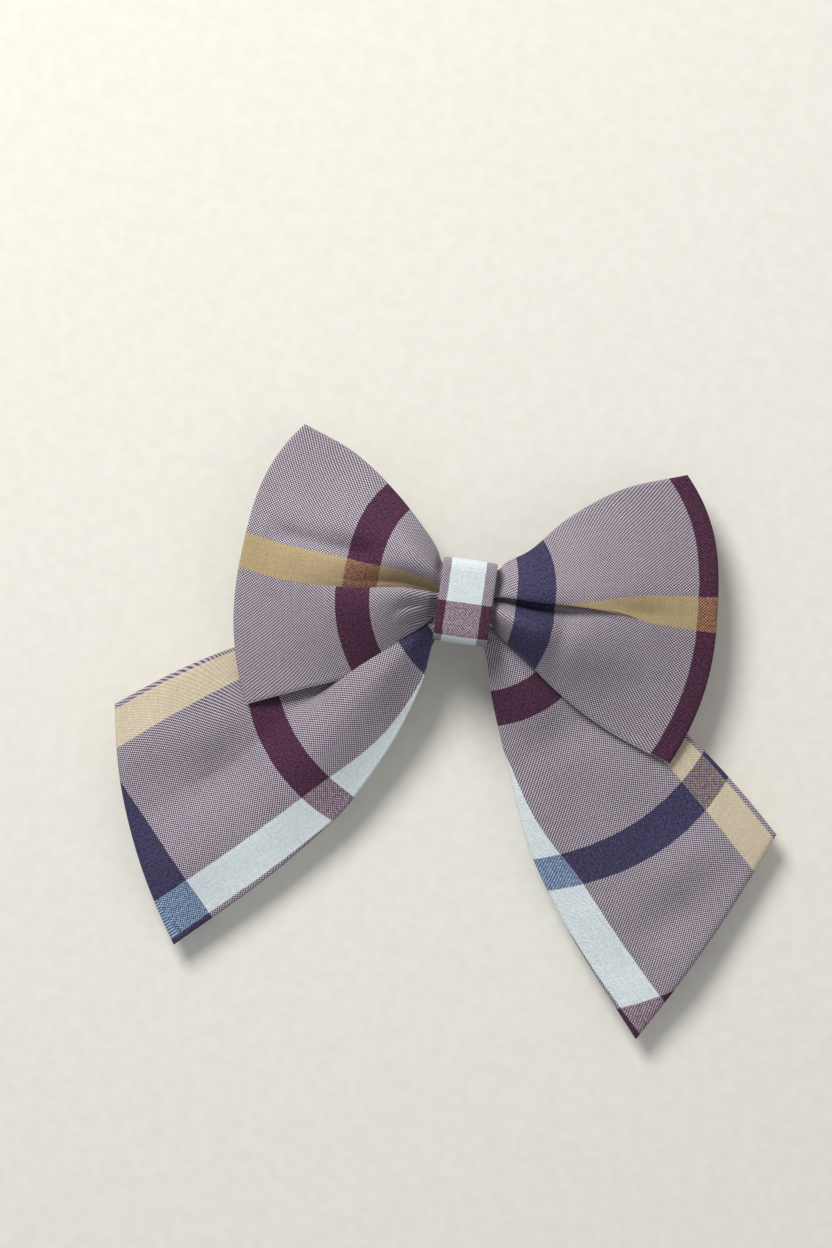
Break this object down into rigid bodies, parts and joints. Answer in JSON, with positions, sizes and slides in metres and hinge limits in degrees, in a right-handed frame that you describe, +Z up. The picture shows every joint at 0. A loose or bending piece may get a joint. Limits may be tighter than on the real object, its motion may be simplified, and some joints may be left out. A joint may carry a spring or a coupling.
{
  "type": "fabric hair bow",
  "caption": "Plaid fabric hair bow with padded wings and two hanging tails gathered under a centre band, on an alligator clip.",
  "frame": {"origin": "middle of the knot, on the hair side of the lined upper clip arm", "axes": "+X to the viewer's right, +Z up, -Y out of the front of the bow, +Y towards the hair"},
  "size_m": [0.1669, 0.0269, 0.1404],
  "materials": {
    "plaid_cloth": "woven cotton plaid, mauve ground with plum, navy, gold and pale blue stripes",
    "interfacing": "white non-woven stiffener",
    "thread": "mauve sewing thread",
    "glue": "clear yellowish set glue",
    "clip_steel": "nickel plated pressed steel",
    "spring_steel": "spring wire",
    "ribbon": "ribbed ribbon"
  },
  "bodies": {
    "bow": {"bow_front_panel": "plaid_cloth", "bow_back_panel": "plaid_cloth", "bow_interfacing": "interfacing", "bow_seam_thread": "thread", "bow_waist_thread": "thread", "tail_waist": "plaid_cloth", "tail_waist_thread": "thread", "joining_thread": "thread", "centre_band": "plaid_cloth", "centre_band_lining": "interfacing", "band_stitches": "thread", "glue_pad": "glue", "clip_upper_arm": "clip_steel", "clip_ribbon_lining": "ribbon", "clip_hinge_pin": "clip_steel", "clip_spring": "spring_steel"},
    "clip_jaw_body": {"clip_jaw": "clip_steel"},
    "left_tail": {"left_tail_front_panel": "plaid_cloth", "left_tail_back_panel": "plaid_cloth", "left_tail_interfacing": "interfacing", "left_tail_seam_thread": "thread"},
    "right_tail": {"right_tail_front_panel": "plaid_cloth", "right_tail_back_panel": "plaid_cloth", "right_tail_interfacing": "interfacing", "right_tail_seam_thread": "thread"}
  },
  "joints": [
    {"name": "jaw_open", "type": "hinge", "parent": "bow", "child": "clip_jaw_body", "pos_m": [0.011, 0.0022, 0], "axis": [0, 0, -1], "range_deg": [0, 35], "deforming": ["clip_spring"]},
    {"name": "left_tail_drape", "type": "hinge", "parent": "bow", "child": "left_tail", "pos_m": [-0.00817, -0.0024, -0.00736], "axis": [0.6691, 0, -0.7431], "range_deg": [0, 30]},
    {"name": "right_tail_drape", "type": "hinge", "parent": "bow", "child": "right_tail", "pos_m": [0.00764, -0.0024, -0.00791], "axis": [0.7193, 0, 0.6947], "range_deg": [0, 30]}
  ]
}
